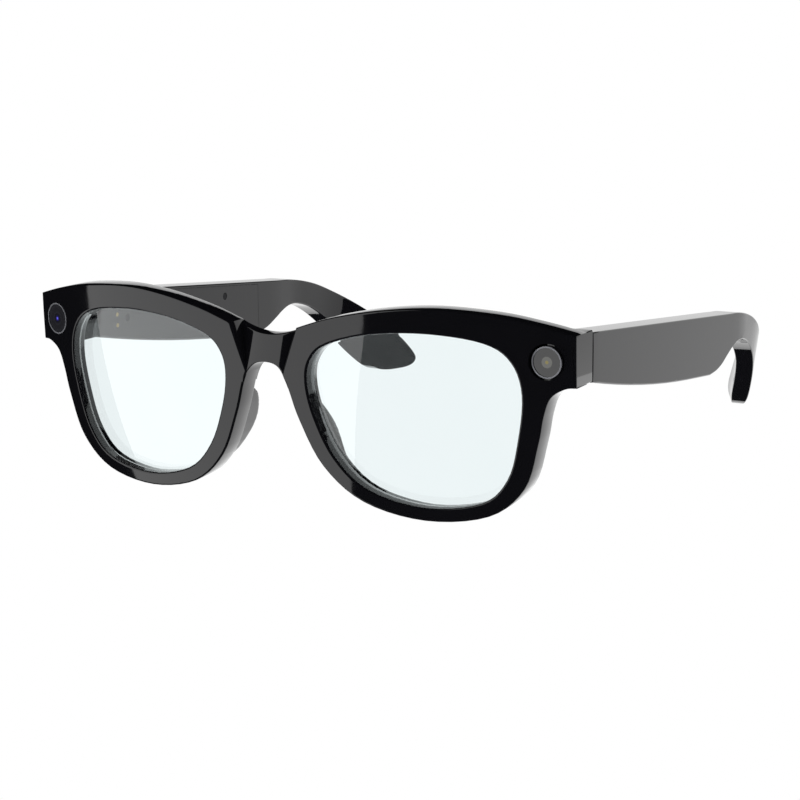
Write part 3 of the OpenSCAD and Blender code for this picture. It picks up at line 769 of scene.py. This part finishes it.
def inset_line(start, end, margin):
    """The temple's side profile between two distances, drawn in by a margin."""
    steps = [start + (end - start) * i / 12 for i in range(13)]
    return ([(s, temple_top(s) - margin) for s in steps]
            + [(s, temple_low(s) + margin) for s in reversed(steps)])


def side_prism(points, x_from, x_to):
    bm = bmesh.new()
    bm.faces.new([bm.verts.new((x_from, parting_y + s, z)) for s, z in points])
    grown = bmesh.ops.extrude_face_region(bm, geom=bm.faces[:])
    bmesh.ops.translate(bm, vec=(x_to - x_from, 0, 0),
                        verts=[g for g in grown["geom"] if isinstance(g, bmesh.types.BMVert)])
    bmesh.ops.recalc_face_normals(bm, faces=bm.faces)
    return bm


def button_slot():
    """The hole in the right temple's top wall, a little larger than the button."""
    bm = brick((67.08, -0.12, -2.3), (69.92, 5.52, 1))
    bmesh.ops.rotate(bm, matrix=Matrix.Rotation(math.radians(-slope_deg), 3, "X"),
                     verts=bm.verts)
    bmesh.ops.translate(bm, vec=(0, parting_y + button_at, temple_top(button_at)),
                        verts=bm.verts)
    return bm


def temple_shell(side):
    name = "left" if side > 0 else "right"
    bm = sheet_of(temple_side, bevel=edge_round, cell=4)
    thicken(bm, temple_t)
    for v in bm.verts:
        v.co = temple_point(v.co.x, v.co.y, v.co.z)
    bmesh.ops.recalc_face_normals(bm, faces=bm.faces)
    low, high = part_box("speaker_grille_" + name)
    grille = brick([1000 * c for c in low], [1000 * c for c in high])
    mirrored(grille, side)
    middle = sum((v.co for v in grille.verts), Vector()) / 8
    bmesh.ops.scale(grille, vec=(1.04, 1.02, 6), verts=grille.verts,
                    space=Matrix.Translation(-middle))
    tools = [side_prism(inset_line(leaf_pocket + 0.4, cavity_end, wall), hinge_x - 1, end_x - wall),
             side_prism(inset_line(leaf_pocket, cavity_end + 0.8, wall - 0.5),
                        hinge_x - 1, hinge_x + cover_t),
             brick((hinge_x - 1, parting_y - 1, 33.65), (70.9, parting_y + leaf_pocket, 42.95)),
             hinge_cut(1), grille,
             rod(0.4, 4, Matrix.Translation((hinge_x + 3.4, parting_y + 8.7,
                                             temple_low(8.7) - 2)), 24)]
    if side < 0:
        tools.append(button_slot())
    bm = cut(bm, *tools)
    place("temple_" + name + "_moulding", mirrored(bm, side), gloss_black, "temple_" + name,
          "temple_shell_" + name)


temple_shell(1)
temple_shell(-1)
cover_black = moulded_plastic("moulded_cover_black", "#09090b", 0.06, 0.02, 2.0)
finish(cover_black, "temple_cover_left", "temple_cover_right")

# ---- Hinges and screws ----
# Leaves stamped from stainless steel sheet and tumbled, with turned screws. The
# small screws in the temples are blackened.
finish(worked_metal("tumbled_stainless_steel", "#9a9b9f", 0.28, 0.4, "Y"),
       "hinge_leaf_front_left", "hinge_leaf_front_right",
       "hinge_leaf_temple_left", "hinge_leaf_temple_right")
finish(worked_metal("turned_stainless_steel", "#a6a7ab", 0.22, 0.12, "Z"),
       "hinge_screw_left", "hinge_screw_right", "front_screws")
finish(worked_metal("black_oxide_steel", "#1c1c1f", 0.35, 0.12, "X"),
       "temple_screws_left", "temple_screws_right")

# ---- Controls and contacts ----
# A moulded button on top of the right temple, a slide on the inside of the left
# one, two gold-plated contacts for a charging cradle, and the speakers' grilles.
control_black = moulded_plastic("moulded_control_black", "#0c0c0e", 0.12, 0.06, 0.5)
finish(control_black, "capture_button", "power_switch")
finish(worked_metal("gold_plated_brass", "#9c8a5c", 0.3, 0.2, "X"), "charging_contacts")
finish(worked_metal("coated_perforated_steel", "#1b1b1e", 0.4, 0.2, "Y"),
       "speaker_grille_left", "speaker_grille_right")

# ---- Inner parts ----
# Boards, cables, cell and speakers, shut in behind the covers.
solder_mask = moulded_plastic("solder_mask_green", "#12452a", 0.35, 0.3, 0.4)
finish(solder_mask, "camera_module", "light_board", "battery_board", "main_board")
polyimide = moulded_plastic("polyimide_film", "#9a5416", 0.25, 0.2, 0.6)
finish(polyimide, "front_flex", "temple_flex_left", "temple_flex_right", "touch_sensor")
finish(worked_metal("drawn_tinplate", "#b4b5b8", 0.3, 0.5, "Y"), "processor_shield",
       "bridge_microphone", "microphone_left", "microphone_right", "switch_body",
       "button_switch")
finish(moulded_plastic("moulded_epoxy", "#17171a", 0.55, 0.3, 0.15), "memory_chip")
finish(worked_metal("laminated_foil", "#a3a7ab", 0.35, 1.5, "X"), "battery")
finish(moulded_plastic("moulded_speaker_grey", "#26262a", 0.5, 0.2, 0.3),
       "speaker_left", "speaker_right")
